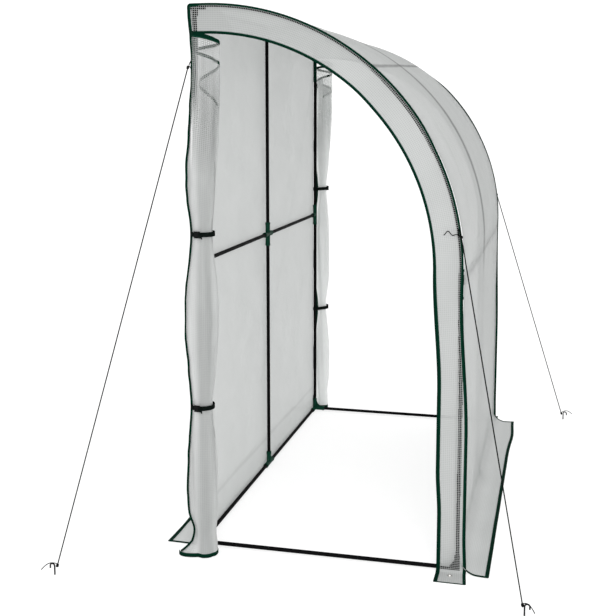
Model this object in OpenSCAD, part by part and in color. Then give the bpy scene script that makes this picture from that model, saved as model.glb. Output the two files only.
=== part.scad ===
// Lean-to walk-in greenhouse: a bent tube frame in moulded socket connectors, under a
// reinforced film cover with ground skirts, rolled-back end doors and guy ropes on pegs.
// X runs from the wall to the front, Y along the wall, Z up. The ground is Z = 0.

/* [Frame size] */
// Length along the wall, between the axes of the two end hoops
length = 1950; // [1400:10:2800]
// Depth from the wall posts to the front posts, between tube axes
depth = 1020; // [800:10:1300]
// Height of the ridge rail's axis over the ground
ridge_z = 2130; // [1900:10:2400]
// Height of the wall's middle rail over the ground
wall_rail_z = 1155; // [950:5:1250]
// Straight length at each end of a hoop, outside its bend
hoop_tail = 45; // [42:1:80]

/* [Tubes] */
// Outer diameter of the frame tubes
tube_d = 16; // [14:0.5:20]
// Wall of the frame tubes
tube_wall = 1; // [0.8:0.1:1.6]

/* [Connectors] */
// Wall of a moulded socket round its tube
socket_wall = 2.8; // [2:0.1:4]
// Length of a socket from where the tube axes cross
socket_len = 56; // [48:1:70]
// Where a tube stops, from where the tube axes cross
tube_stop = 12; // [11:0.5:16]
// Radial clearance of a tube in its socket
socket_fit = 0.2; // [0.15:0.05:0.4]
// How far the bead at a socket's mouth stands out
bead_h = 1; // [0.5:0.1:2]
// Width of that bead along the tube
bead_w = 9; // [5:0.5:14]
// Leg of the web that braces two sockets at a corner
web_leg = 40; // [30:1:46]
// Thickness of that web
web_t = 5; // [3:0.5:8]

/* [Cover] */
// Thickness of the film as modelled
film_t = 2; // [1.5:0.1:3]
// Clearance between a soft piece and what carries it
seat = 0.3; // [0.2:0.05:0.5]
// Width of the strip that frames each end's doorway
strip_w = 105; // [80:1:140]
// Radius of the curve where the front wall turns out along the ground
cove_r = 70; // [40:1:90]
// Radius of the curve where the rear wall turns out along the ground
rear_cove_r = 20; // [15:1:60]
// How far the front skirt reaches from the front wall
front_skirt = 115; // [100:1:200]
// How far the rear skirt reaches from the rear wall
rear_skirt = 128; // [100:1:200]
// Radius of the curve where a flap turns out along the ground
flap_cove_r = 18; // [15:1:19]
// How far the flap under a doorway strip reaches
flap_reach = 97; // [80:1:140]
// Diameter of the eyelet in a flap
eyelet_d = 10; // [8:0.5:14]
// Distance of the eyelet from the strip's outer face
eyelet_out = 34; // [26:1:70]
// Width of the binding round a doorway
binding_w = 13; // [8:0.5:18]
// Width of the binding along an outer edge
edge_w = 9; // [4:0.5:12]
// Width of the binding along a rear upright edge
rear_edge_w = 4; // [3:0.5:4]
// Thickness of the binding
binding_t = 1; // [0.6:0.1:1.5]

/* [Rolled doors] */
// Radius of the near rolled door between its ties
near_roll_r = 59; // [45:1:62]
// Radius of the far rolled door between its ties
far_roll_r = 47; // [40:1:56]
// How far the near roll's axis stands into the doorway from the wall post
near_roll_x = 38; // [30:1:60]
// How far the far roll's axis stands into the doorway from the wall post
far_roll_x = 24; // [15:1:50]
// How much a tie draws the roll in
pinch = 14; // [6:0.5:16]
// Height over which a tie draws the roll in
pinch_len = 120; // [90:5:160]
// How much the foot of the roll spreads
flare = 7; // [3:0.5:10]
// Height over which it spreads
flare_len = 70; // [40:5:120]
// Height of the lower tie
low_tie_z = 605; // [500:5:750]
// Height of the upper tie
high_tie_z = 1280; // [1260:5:1450]
// Width of a tie
tie_w = 20; // [14:1:28]
// Thickness of a tie
tie_t = 1.5; // [1:0.1:2.5]
// Clearance between a roll and its tie
tie_fit = 0.7; // [0.6:0.05:0.9]

/* [Guy ropes] */
// How far under the ridge the rear ropes are tied
rear_guy_drop = 220; // [120:5:400]
// Height at which the front ropes are tied
front_guy_z = 1280; // [1250:5:1500]
// Diameter of a guy rope
rope_d = 4; // [3:0.5:6]
// Diameter of the knots in a guy rope
knot_d = 11; // [8:0.5:14]
// Middle radius of the loop that a rope is tied to
loop_r = 9; // [7:0.5:12]
// Thickness of that loop
loop_d = 4; // [3:0.5:5]
// How far the rear pegs stand out behind the wall posts
rear_peg_out = 450; // [300:5:700]
// How far the rear pegs stand out beyond the end hoops
rear_peg_end = 395; // [250:5:600]
// How far the near front peg stands out before the front posts
near_peg_out = 270; // [200:5:380]
// How far the near front peg stands out beyond the near hoop
near_peg_end = 295; // [200:5:390]
// How far the far front peg stands out before the front posts
far_peg_out = 400; // [385:5:700]
// How far the far front peg stands out beyond the far hoop
far_peg_end = 155; // [100:5:390]
// Diameter of the peg wire
peg_d = 6; // [4:0.5:8]
// Height of a peg's straight shank over the ground
peg_z = 34; // [30:1:60]
// Middle radius of a peg's hook
peg_hook_r = 9; // [8:0.5:14]

/* [Hidden] */
$fn = 48;
tube_r = tube_d / 2;
bore_r = tube_r + socket_fit;
socket_r = bore_r + socket_wall;
bead_r = socket_r + bead_h;
tube_end = tube_stop + socket_fit;

// The ground that the pegs span is centred on the origin.
span_x = rear_peg_out + depth + far_peg_out;
rear_x = rear_peg_out - span_x / 2;
front_x = rear_x + depth;
end_y = length / 2;
base_z = bead_r;
eave_z = ridge_z - depth;
rear_guy_z = ridge_z - rear_guy_drop;
bend_r = depth - hoop_tail;
bend_x = rear_x + hoop_tail;
bend_z = ridge_z - bend_r;
hoop_ys = [-end_y, 0, end_y];

// The film's inner and outer faces, from the tube axes.
film_in = bead_r + seat;
film_out = film_in + film_t;
cover_end = end_y + film_out;
cove_top = cove_r + film_t;
rear_cove_top = rear_cove_r + film_t;
flap_top = flap_cove_r + film_t;
strip_in = film_out - strip_w;
strip_z = ridge_z + strip_in;

roll_top = strip_z - seat;
roll_steps = 16;
ties = [low_tie_z, high_tie_z];

knot_r = knot_d / 2;
rope_r = rope_d / 2;
peg_r = peg_d / 2;
loop_reach = loop_r + loop_d / 2;
peg_neck_z = peg_z - knot_r;

steel = "#1a1a1b";
moulding = "#123d2c";
film = "#c9cbca";
green = "#0b3a29";
cord = "#202122";

// Shapes that repeat

// A straight tube along +Z.
module tube(from, to) {
    translate([0, 0, from]) difference() {
        cylinder(r = tube_r, h = to - from);
        translate([0, 0, -1]) cylinder(r = tube_r - tube_wall, h = to - from + 2);
    }
}

// Turns +Z to a direction along an axis.
module along(dir) {
    if (dir.x != 0) rotate([0, 90 * dir.x, 0]) children();
    else if (dir.y != 0) rotate([-90 * dir.y, 0, 0]) children();
    else if (dir.z < 0) rotate([180, 0, 0]) children();
    else children();
}

// A rail in two lengths along Y, meeting at the middle hoop.
module long_rail(x, z) {
    for (side = [-1, 1])
        translate([x, 0, z]) along([0, side, 0]) tube(tube_end, end_y - tube_end);
}

// A post in one length between two connectors.
module post(x, y, from, to) {
    translate([x, y, 0]) tube(from + tube_end, to - tube_end);
}

// One socket with its bead, along +Z from where the tube axes cross.
module socket() {
    cylinder(r = socket_r, h = socket_len);
    translate([0, 0, socket_len - bead_w]) cylinder(r = bead_r, h = bead_w);
}

// The web between two sockets at right angles, hollowed to a curve.
module web(a, b) {
    n = cross(a, b);
    m = [[a.x, b.x, n.x, 0], [a.y, b.y, n.y, 0], [a.z, b.z, n.z, 0], [0, 0, 0, 1]];
    reach = socket_r + web_leg;
    multmatrix(m) translate([0, 0, -web_t / 2]) linear_extrude(web_t) difference() {
        square(reach);
        translate([reach, reach]) circle(r = web_leg);
        translate([reach, socket_r]) square(web_leg);
        translate([socket_r, reach]) square(web_leg);
    }
}

// A moulded connector with a socket along each direction, and webs between some pairs.
module connector(at, dirs, webs = []) {
    translate(at) difference() {
        union() {
            sphere(r = socket_r);
            for (d = dirs) along(d) socket();
            for (w = webs) web(dirs[w[0]], dirs[w[1]]);
        }
        for (d = dirs) along(d) translate([0, 0, tube_stop]) cylinder(r = bore_r, h = socket_len);
    }
}

// The rail directions that leave a connector at a hoop: inwards at the ends, both ways between.
function rail_dirs(y) = y < 0 ? [[0, 1, 0]] : y > 0 ? [[0, -1, 0]] : [[0, 1, 0], [0, -1, 0]];

// The hoop's line in the X-Z plane, as a band between two distances from the tube axis.
// It starts at from_x on the ridge and runs down the front to to_z.
module hoop_band(inner, outer, from_x, to_z) {
    translate([from_x, ridge_z + inner]) square([bend_x - from_x, outer - inner]);
    intersection() {
        translate([bend_x, bend_z]) difference() {
            circle(r = bend_r + outer, $fn = 180);
            circle(r = bend_r + inner, $fn = 180);
        }
        translate([bend_x, bend_z]) square(bend_r + outer);
    }
    translate([front_x + inner, to_z]) square([outer - inner, bend_z - to_z]);
}

// Stands an outline drawn in X and Z up in the X-Z plane, from y towards +Y.
module stand(y, thick) {
    translate([0, y + thick, 0]) rotate([90, 0, 0]) linear_extrude(thick) children();
}

// Gives the far end the near end's shape.
module at_end(side) {
    if (side > 0) mirror([0, 1, 0]) children();
    else children();
}

// A wall's foot in section: a cove from the wall at -film_t..0 out to a flat edge on the ground.
module skirt_section(r, reach) {
    top = r + film_t;
    intersection() {
        translate([r, top]) difference() {
            circle(r = top, $fn = 96);
            circle(r = r, $fn = 96);
        }
        translate([-film_t, 0]) square(top);
    }
    translate([r, 0]) square([reach - r, film_t]);
}

// A closed outline drawn tight round two circles.
module belt_outline(ra, rb, span) {
    hull() {
        circle(r = ra, $fn = 32);
        translate([span, 0]) circle(r = rb, $fn = 64);
    }
}

// A round bar between two points.
module bar(a, b, r) {
    d = b - a;
    turn = atan2(d.y, d.x);
    tilt = acos(d.z / norm(d));
    translate(a) rotate([0, tilt, turn]) cylinder(r = r, h = norm(d), $fn = 24);
}

// Frame

module hoop(y) {
    color(steel) translate([bend_x, y, bend_z]) rotate([90, 0, 0]) {
        difference() {
            union() {
                rotate_extrude(angle = 90, $fn = 180) translate([bend_r, 0]) circle(r = tube_r);
                translate([bend_r, 0, 0]) rotate([90, 0, 0])
                    cylinder(r = tube_r, h = hoop_tail - tube_end);
                translate([0, bend_r, 0]) rotate([0, -90, 0])
                    cylinder(r = tube_r, h = hoop_tail - tube_end);
            }
            rotate_extrude(angle = 90, $fn = 180)
                translate([bend_r, 0]) circle(r = tube_r - tube_wall);
            translate([bend_r, 0, 0]) rotate([90, 0, 0])
                cylinder(r = tube_r - tube_wall, h = hoop_tail);
            translate([0, bend_r, 0]) rotate([0, -90, 0])
                cylinder(r = tube_r - tube_wall, h = hoop_tail);
        }
    }
}

module rear_post(y) {
    color(steel) {
        post(rear_x, y, base_z, wall_rail_z);
        post(rear_x, y, wall_rail_z, ridge_z);
    }
}

module front_post(y) {
    color(steel) post(front_x, y, base_z, eave_z);
}

module sill_rail(y) {
    color(steel) translate([rear_x, y, base_z]) along([1, 0, 0]) tube(tube_end, depth - tube_end);
}

module rear_base_rail() color(steel) long_rail(rear_x, base_z);
module front_base_rail() color(steel) long_rail(front_x, base_z);
module wall_rail() color(steel) long_rail(rear_x, wall_rail_z);
module ridge_rail() color(steel) long_rail(rear_x, ridge_z);
module eave_rail() color(steel) long_rail(front_x, eave_z);

// Connectors

// The feet take a post, the base rail and, at the ends, the sill, braced by webs.
module foot_connectors(x, inwards) {
    color(moulding) for (y = hoop_ys) {
        ends = y == 0 ? [] : [[inwards, 0, 0]];
        dirs = concat([[0, 0, 1]], rail_dirs(y), ends);
        connector([x, y, base_z], dirs, y == 0 ? [[1, 0], [0, 2]] : [[0, 1], [0, 2]]);
    }
}

module rear_foot_connectors() foot_connectors(rear_x, 1);
module front_foot_connectors() foot_connectors(front_x, -1);

module wall_rail_connectors() {
    color(moulding) for (y = hoop_ys)
        connector([rear_x, y, wall_rail_z], concat([[0, 0, 1], [0, 0, -1]], rail_dirs(y)));
}

module ridge_connectors() {
    color(moulding) for (y = hoop_ys)
        connector([rear_x, y, ridge_z], concat([[0, 0, -1], [1, 0, 0]], rail_dirs(y)), [[0, 1], [0, 2]]);
}

module eave_connectors() {
    color(moulding) for (y = hoop_ys)
        connector([front_x, y, eave_z], concat([[0, 0, 1], [0, 0, -1]], rail_dirs(y)));
}

// Cover

// The roof and front wall are one sheet, from the top of the rear wall down to the front skirt.
module roof_cover() {
    color(film) stand(-cover_end, 2 * cover_end)
        hoop_band(film_in, film_out, rear_x - film_out, cove_top);
}

module rear_cover() {
    color(film) stand(-cover_end, 2 * cover_end)
        translate([rear_x - film_out, rear_cove_top]) square([film_t, ridge_z + film_in - rear_cove_top]);
}

module front_skirt() {
    color(film) stand(-cover_end, 2 * cover_end)
        translate([front_x + film_out, 0]) skirt_section(cove_r, front_skirt);
}

module rear_skirt() {
    color(film) stand(-cover_end, 2 * cover_end)
        translate([rear_x - film_out, 0]) mirror([1, 0]) skirt_section(rear_cove_r, rear_skirt);
}

// The strip frames the doorway over the top and down the front, inside the roof's edge.
module end_strip(side) {
    color(film) at_end(side) stand(-cover_end, film_t)
        hoop_band(strip_in, film_in, rear_x - film_in, flap_top);
}

// Under the strip, a flap turns out along the ground and is pegged through its eyelet.
module flap(side) {
    from_x = front_x + strip_in;
    wide = film_in - strip_in;
    color(film) at_end(side) translate([from_x, -cover_end, 0]) difference() {
        rotate([90, 0, 90]) linear_extrude(wide) mirror([1, 0]) skirt_section(flap_cove_r, flap_reach);
        translate([wide / 2, -eyelet_out, -1]) cylinder(d = eyelet_d, h = film_t + 2);
    }
}

module doorway_binding(side) {
    color(green) at_end(side) stand(-cover_end - binding_t, binding_t)
        hoop_band(strip_in, strip_in + binding_w, rear_x - film_in, flap_top);
}

// The edge binding runs up the rear edge, over the roof's edge and down the front.
module edge_binding(side) {
    color(green) at_end(side) stand(-cover_end - binding_t, binding_t) {
        hoop_band(film_out - edge_w, film_out, rear_x - film_out, flap_top);
        translate([rear_x - film_out, rear_cove_top])
            square([rear_edge_w, ridge_z + film_out - rear_cove_top]);
    }
}

module skirt_bindings() {
    color(green) {
        translate([front_x + film_out + front_skirt - binding_w, -cover_end, film_t])
            cube([binding_w, 2 * cover_end, binding_t]);
        translate([rear_x - film_out - rear_skirt, -cover_end, film_t])
            cube([binding_w, 2 * cover_end, binding_t]);
    }
}

// Rolled doors

function bell(d) = exp(-pow(d / pinch_len, 2));
function roll_radius(z, r) = r - pinch * (bell(z - low_tie_z) + bell(z - high_tie_z)) + flare * exp(-z / flare_len);
roll_marks = [0, low_tie_z, high_tie_z, roll_top];
roll_zs = [for (k = [0:2], i = [0:roll_steps - 1])
    roll_marks[k] + (roll_marks[k + 1] - roll_marks[k]) * i / roll_steps, roll_top];
function roll_axis_y(r) = -(end_y + film_in + seat + r + flare);

// A door rolled up round its free edge: drawn in at its ties, spread at its foot.
module rolled_door(side, r, x) {
    color(film) at_end(side) translate([rear_x + x, roll_axis_y(r), 0]) rotate_extrude($fn = 96)
        polygon(concat([[0, 0]], [for (z = roll_zs) [roll_radius(z, r), z]], [[0, roll_top]]));
}

// Each tie is a band round the wall post and the roll.
module door_ties(side, r, x) {
    away = [x, roll_axis_y(r) + end_y];
    color(green) at_end(side) for (z = ties)
        translate([rear_x, -end_y, z - tie_w / 2]) rotate([0, 0, atan2(away.y, away.x)])
            linear_extrude(tie_w) difference() {
                belt_outline(tube_r + seat + tie_t, roll_radius(z, r) + tie_fit + tie_t, norm(away));
                belt_outline(tube_r + seat, roll_radius(z, r) + tie_fit, norm(away));
            }
}

// Guy ropes

// Where the ropes are tied, on the cover's corner edges, and where their pegs stand.
function roof_x(z) = bend_x + sqrt(pow(bend_r + film_out, 2) - pow(max(z - bend_z, 0), 2));
rear_ties = [for (s = [-1, 1]) [rear_x - film_out, s * (cover_end + binding_t), rear_guy_z]];
front_ties = [for (s = [-1, 1]) [roof_x(front_guy_z), s * (cover_end + binding_t), front_guy_z]];
rear_pegs = [for (s = [-1, 1]) [rear_x - rear_peg_out, s * (end_y + rear_peg_end), 0]];
front_pegs = [
    [front_x + near_peg_out, -(end_y + near_peg_end), 0],
    [front_x + far_peg_out, end_y + far_peg_end, 0]
];

// The level direction from a tie to its peg.
function heading(tie, peg) = let (d = [peg.x - tie.x, peg.y - tie.y, 0]) d / norm(d);
function loop_at(tie, peg) = tie + (loop_reach + seat) * heading(tie, peg);
function rope_foot(tie, peg) = peg - (peg_r + seat + knot_r) * heading(tie, peg) + [0, 0, peg_neck_z];
// The rope pulls on the side of its loop that is nearest to the peg.
function rope_top(tie, peg) = let (from = loop_at(tie, peg), d = rope_foot(tie, peg) - from)
    from + (loop_reach + seat + knot_r) * d / norm(d);

module guy_loop(tie, peg) {
    h = heading(tie, peg);
    translate(loop_at(tie, peg)) rotate([90, 0, atan2(h.y, h.x)]) rotate_extrude()
        translate([loop_r, 0]) circle(d = loop_d, $fn = 24);
}

module guy_loops() {
    color(green) for (i = [0, 1]) {
        guy_loop(rear_ties[i], rear_pegs[i]);
        guy_loop(front_ties[i], front_pegs[i]);
    }
}

// A taut rope with a knot at its loop and one at its peg.
module guy(tie, peg) {
    color(cord) {
        bar(rope_top(tie, peg), rope_foot(tie, peg), rope_r);
        translate(rope_top(tie, peg)) sphere(r = knot_r, $fn = 32);
        translate(rope_foot(tie, peg)) sphere(r = knot_r, $fn = 32);
    }
}

// A wire peg over the ground, bent to a hook that points away from the building.
module peg(at, out) {
    translate(at) {
        cylinder(r = peg_r, h = peg_z, $fn = 24);
        translate([out * peg_hook_r, 0, peg_z]) rotate([90, 0, 0])
            rotate_extrude(angle = 180) translate([peg_hook_r, 0]) circle(r = peg_r, $fn = 24);
        translate([out * 2 * peg_hook_r, 0, peg_z - peg_hook_r])
            cylinder(r = peg_r, h = peg_hook_r, $fn = 24);
    }
}

module pegs() {
    color(steel) {
        for (p = rear_pegs) peg(p, -1);
        for (p = front_pegs) peg(p, 1);
    }
}

rear_post(-end_y);  // near_rear_post
rear_post(0);  // middle_rear_post
rear_post(end_y);  // far_rear_post
front_post(-end_y);  // near_front_post
front_post(0);  // middle_front_post
front_post(end_y);  // far_front_post
hoop(-end_y);  // near_hoop
hoop(0);  // middle_hoop
hoop(end_y);  // far_hoop
rear_base_rail();
front_base_rail();
sill_rail(-end_y);  // near_sill_rail
sill_rail(end_y);  // far_sill_rail
wall_rail();
ridge_rail();
eave_rail();
rear_foot_connectors();
front_foot_connectors();
wall_rail_connectors();
ridge_connectors();
eave_connectors();
roof_cover();
rear_cover();
front_skirt();
rear_skirt();
end_strip(-1);  // near_end_strip
end_strip(1);  // far_end_strip
flap(-1);  // near_flap
flap(1);  // far_flap
doorway_binding(-1);  // near_doorway_binding
doorway_binding(1);  // far_doorway_binding
edge_binding(-1);  // near_edge_binding
edge_binding(1);  // far_edge_binding
skirt_bindings();
rolled_door(-1, near_roll_r, near_roll_x);  // near_rolled_door
rolled_door(1, far_roll_r, far_roll_x);  // far_rolled_door
door_ties(-1, near_roll_r, near_roll_x);  // near_door_ties
door_ties(1, far_roll_r, far_roll_x);  // far_door_ties
guy_loops();
guy(rear_ties[0], rear_pegs[0]);  // near_rear_guy
guy(rear_ties[1], rear_pegs[1]);  // far_rear_guy
guy(front_ties[0], front_pegs[0]);  // near_front_guy
guy(front_ties[1], front_pegs[1]);  // far_front_guy
pegs();
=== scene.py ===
# %% [markdown]
# # A lean-to walk-in greenhouse
# The real thing is a black tube frame in dark green moulded corners, under a cover of
# thread-reinforced film with bound edges. Its two end doors are rolled back and tied, and
# four guy ropes hold it to the ground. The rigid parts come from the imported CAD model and
# only get finishes here. Everything soft is made again in this file.

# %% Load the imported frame
import bisect
import math
import bpy
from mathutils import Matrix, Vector, noise


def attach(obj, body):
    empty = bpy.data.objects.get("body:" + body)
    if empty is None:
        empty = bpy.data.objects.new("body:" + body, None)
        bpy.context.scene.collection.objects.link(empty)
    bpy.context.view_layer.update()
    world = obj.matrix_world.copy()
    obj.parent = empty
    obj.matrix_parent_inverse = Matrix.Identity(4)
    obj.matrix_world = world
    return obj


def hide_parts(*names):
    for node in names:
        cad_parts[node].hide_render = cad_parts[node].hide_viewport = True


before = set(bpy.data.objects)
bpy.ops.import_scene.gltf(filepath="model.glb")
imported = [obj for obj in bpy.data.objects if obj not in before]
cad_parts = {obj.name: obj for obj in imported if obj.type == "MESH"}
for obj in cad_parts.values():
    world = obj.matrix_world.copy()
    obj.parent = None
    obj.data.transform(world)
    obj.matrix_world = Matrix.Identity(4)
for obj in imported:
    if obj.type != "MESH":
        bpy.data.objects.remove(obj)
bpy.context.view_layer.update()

# %% [markdown]
# ## Measures
# These sizes repeat the part's own values, in metres. X runs from the wall to the front, Y
# along the wall and Z up. MID is the middle of the film's thickness, measured from the tube
# axes, so a sheet laid there sits where the solid sheet does. Only the fold at the rear foot
# is tighter than the solid's, because the film is drawn in to the base rail there.

# %% Measures of the frame and cover
REAR, FRONT, END = -0.485, 0.535, 0.975
RIDGE = 2.130
BEND_X, BEND_Z, BEND_R = -0.440, 1.155, 0.975
FILM_IN, FILM_OUT = 0.0123, 0.0143
MID = (FILM_IN + FILM_OUT) / 2
COVER_END = END + FILM_OUT
STRIP_Y = COVER_END - 0.001
STRIP_IN = FILM_OUT - 0.105
COVE_R, REAR_COVE, FILM_T = 0.070, 0.005, 0.002
FRONT_SKIRT, REAR_SKIRT, FLAP_REACH, FLAP_COVE = 0.115, 0.128, 0.097, 0.018
EYELET_OUT, EYELET_D = 0.034, 0.010
THREAD_PITCH = 0.007
ENDS = ((-1, "near"), (1, "far"))
DOOR_WIDE = FRONT + STRIP_IN - REAR
print("doorway", round(DOOR_WIDE, 3), "m wide")

# %% [markdown]
# ## Camera
# The camera stands where the photograph was taken from: a little above eye level, off the
# near end and towards the front. Its place and lens were solved from the posts and rails.
# The uprights hardly converge in the photograph, so the lens is shifted a little.

# %% Camera
bpy.ops.object.select_all(action="DESELECT")
bpy.ops.object.camera_add(location=(0.8805, -4.7138, 1.7391),
                          rotation=(math.pi / 2 - 0.1323, 0.0, 0.2424))
camera = bpy.context.object
camera.name = "photo_camera"
camera.data.sensor_width = 36.0
camera.data.lens = 59.77
camera.data.shift_y = -60 / 616
camera.data.clip_end = 200.0
camera.data.dof.use_dof = False
bpy.context.scene.camera = camera
print("camera", camera.location[:], "lens", camera.data.lens)

# %% [markdown]
# ## Finishes
# One function turns a hex colour into Blender's linear numbers, and one adds a node with its
# settings, values and links. Every finish below is made with these two.

# %% Colour and node helpers
def from_hex(code, alpha=1.0):
    def linear(c):
        return c / 12.92 if c <= 0.04045 else ((c + 0.055) / 1.055) ** 2.4
    return tuple(linear(int(code[i:i + 2], 16) / 255) for i in (1, 3, 5)) + (alpha,)


def add(mat, kind, values=None, links=None, **settings):
    node = mat.node_tree.nodes.new(kind)
    for key, value in settings.items():
        setattr(node, key, value)
    for key, value in (values or {}).items():
        node.inputs[key].default_value = value
    for key, socket in (links or {}).items():
        mat.node_tree.links.new(socket, node.inputs[key])
    return node


def new_finish(name):
    mat = bpy.data.materials.new(name)
    mat.use_nodes = True
    mat.node_tree.nodes.clear()
    out = add(mat, "ShaderNodeOutputMaterial")
    shader = add(mat, "ShaderNodeBsdfPrincipled")
    mat.node_tree.links.new(shader.outputs["BSDF"], out.inputs["Surface"])
    return mat, shader


def feed(mat, shader, **sockets):
    for key, socket in sockets.items():
        mat.node_tree.links.new(socket, shader.inputs[key.replace("_", " ")])

# %% [markdown]
# ### Reinforced film
# The cover is polyethylene film with a scrim of flat white yarns laid in it, 7 mm apart and
# about 2.5 mm wide. A brick texture with no offset draws the scrim: its mortar is the yarn.
# The pattern reads each sheet's own UV map, which is in metres. Part of the light that the
# film scatters goes through it. Where a strip lies on a dark tube, it takes a copy of the film
# with painted shade: the squares between the yarns are painted near black and the yarns a
# little darker, so the tube shows as a grid of dots. A finish can also have soft painted lines
# on the sheet: painted shade where the middle hoop lies under the roof, along a crease on the
# roof and low across the rear wall, and painted highlight and shade streaks on the near roll.
# The copies for the roof, the rear wall and the far door are painted lighter than the strips'
# film, which paints light onto them.

# %% Film finish
WHOLE = 9.0    # past the end of every sheet, so a mark with it runs the whole way


def paint_shade_and_highlight_lines(mat, coords, tint, painted_lines):
    """Tint soft lines of painted shade and painted highlight. A mark is (way across, place, core,
    reach, share, end along, colour).
    """
    flat = add(mat, "ShaderNodeSeparateXYZ", links={"Vector": coords.outputs["UV"]})
    for across, at, half, soft, share, end, colour in painted_lines:
        reach = add(mat, "ShaderNodeVectorMath", operation="DOT_PRODUCT",
                    values={1: (*across, 0.0)}, links={0: coords.outputs["UV"]})
        aside = add(mat, "ShaderNodeMath", operation="SUBTRACT", values={1: at},
                    links={0: reach.outputs["Value"]})
        gap = add(mat, "ShaderNodeMath", operation="ABSOLUTE", links={0: aside.outputs[0]})
        line = add(mat, "ShaderNodeMapRange",
                   values={"From Min": half, "From Max": soft, "To Min": share, "To Max": 0.0},
                   links={"Value": gap.outputs[0]})
        fade = add(mat, "ShaderNodeMapRange",
                   values={"From Min": end - 0.25, "From Max": end,
                           "To Min": 1.0, "To Max": 0.0},
                   links={"Value": flat.outputs["Y"]})
        shade = add(mat, "ShaderNodeMath", operation="MULTIPLY",
                    links={0: line.outputs["Result"], 1: fade.outputs["Result"]})
        tint = add(mat, "ShaderNodeMix", data_type="RGBA", values={7: from_hex(colour)},
                   links={0: shade.outputs[0], 6: tint.outputs[2]})
    return tint


def film_finish(name, square, thread="#AFB1B0", squares="#A6A8A7", thread_opacity=0.97,
                through=0.5, yarn=0.18, painted_lines=(), head=None, shine=0.5):
    mat, shader = new_finish(name)
    coords = add(mat, "ShaderNodeTexCoord")
    scrim = add(mat, "ShaderNodeTexBrick", offset=0.0, squash=1.0,
                values={"Scale": 1 / THREAD_PITCH, "Mortar Size": yarn, "Mortar Smooth": 0.10,
                        "Brick Width": 1.0, "Row Height": 1.0},
                links={"Vector": coords.outputs["UV"]})
    cloud = add(mat, "ShaderNodeTexNoise", values={"Scale": 1 / 0.16, "Detail": 3.0},
                links={"Vector": coords.outputs["Object"]})
    opacity = add(mat, "ShaderNodeMapRange",
                  values={"To Min": square, "To Max": thread_opacity},
                  links={"Value": scrim.outputs["Fac"]})
    opacity_out = opacity.outputs["Result"]
    if head:
        place = add(mat, "ShaderNodeSeparateXYZ", links={"Vector": coords.outputs["Object"]})
        rise = add(mat, "ShaderNodeMapRange", values={"From Min": 1.50, "From Max": 1.82},
                   links={"Value": place.outputs["Z"]})
        single = add(mat, "ShaderNodeMapRange", values={"To Min": head[0], "To Max": head[1]},
                     links={"Value": scrim.outputs["Fac"]})
        opacity_out = add(mat, "ShaderNodeMix", data_type="FLOAT",
                          links={0: rise.outputs["Result"], 2: opacity_out,
                                 3: single.outputs["Result"]}).outputs[0]
    haze = add(mat, "ShaderNodeMapRange", values={"From Min": 0.3, "From Max": 0.7,
                                                  "To Min": -0.03, "To Max": 0.03},
               links={"Value": cloud.outputs["Fac"]})
    hazy = add(mat, "ShaderNodeMath", operation="ADD", use_clamp=True)
    mat.node_tree.links.new(opacity_out, hazy.inputs[0])
    mat.node_tree.links.new(haze.outputs["Result"], hazy.inputs[1])
    tint = add(mat, "ShaderNodeMix", data_type="RGBA",
               values={6: from_hex(squares), 7: from_hex(thread)},
               links={0: scrim.outputs["Fac"]})
    if painted_lines:
        tint = paint_shade_and_highlight_lines(mat, coords, tint, painted_lines)
    rough = add(mat, "ShaderNodeMapRange", values={"To Min": 0.30, "To Max": 0.55},
                links={"Value": scrim.outputs["Fac"]})
    bump = add(mat, "ShaderNodeBump", values={"Strength": 0.25, "Distance": 0.0006},
               links={"Height": scrim.outputs["Fac"]})
    feed(mat, shader, Base_Color=tint.outputs[2], Roughness=rough.outputs["Result"],
         Alpha=hazy.outputs[0], Normal=bump.outputs["Normal"])
    shader.inputs["IOR"].default_value = 1.5
    shader.inputs["Specular IOR Level"].default_value = shine
    clear = add(mat, "ShaderNodeBsdfTransparent")
    glow = add(mat, "ShaderNodeBsdfTranslucent", links={"Color": tint.outputs[2]})
    veil = add(mat, "ShaderNodeMixShader",
               links={0: hazy.outputs[0], 1: clear.outputs[0], 2: glow.outputs[0]})
    both = add(mat, "ShaderNodeMixShader", values={0: through},
               links={1: shader.outputs["BSDF"], 2: veil.outputs[0]})
    surface = mat.node_tree.nodes["Material Output"].inputs["Surface"]
    mat.node_tree.links.new(both.outputs[0], surface)
    return mat


film = film_finish("reinforced polyethylene film", 0.88, through=0.35)
# A copy with painted shade for film lying on a tube: near-black squares and darker yarns.
tube_shade_film = film_finish("reinforced polyethylene film, painted with tube shade", 0.96,
                           squares="#050606", thread="#A6A8A7", through=0.3, yarn=0.105,
                           shine=0.05)
# The roof's copy of the film is painted lighter, which paints light onto the roof. Its first mark
# is a painted shade line where the middle hoop lies under the film, its second a thin painted shade
# line along a crease.
roof_finish = film_finish("reinforced polyethylene film, roof tone painted lighter", 0.92, squares="#B4B6B5",
                          thread="#BCBEBD",
                          painted_lines=[((1.0, 0.0), COVER_END, 0.020, 0.065, 0.62, 1.85, "#3A3C3B"),
                                 ((0.071, 1.0), 0.811, 0.004, 0.014, 0.60, 1.20, "#3A3C3B")])
# The rear wall's copy is more opaque and painted lighter, which paints light onto the wall. Its
# mark is a faint painted shade line across the wall, about 0.14 m above the ground.
rear_finish = film_finish("reinforced polyethylene film, milky", 0.95, squares="#C2C4C3",
                          thread="#C4C6C5",
                          painted_lines=[((0.0, 1.0), 1.983, 0.004, 0.013, 0.10, WHOLE, "#3A3C3B")])
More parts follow.
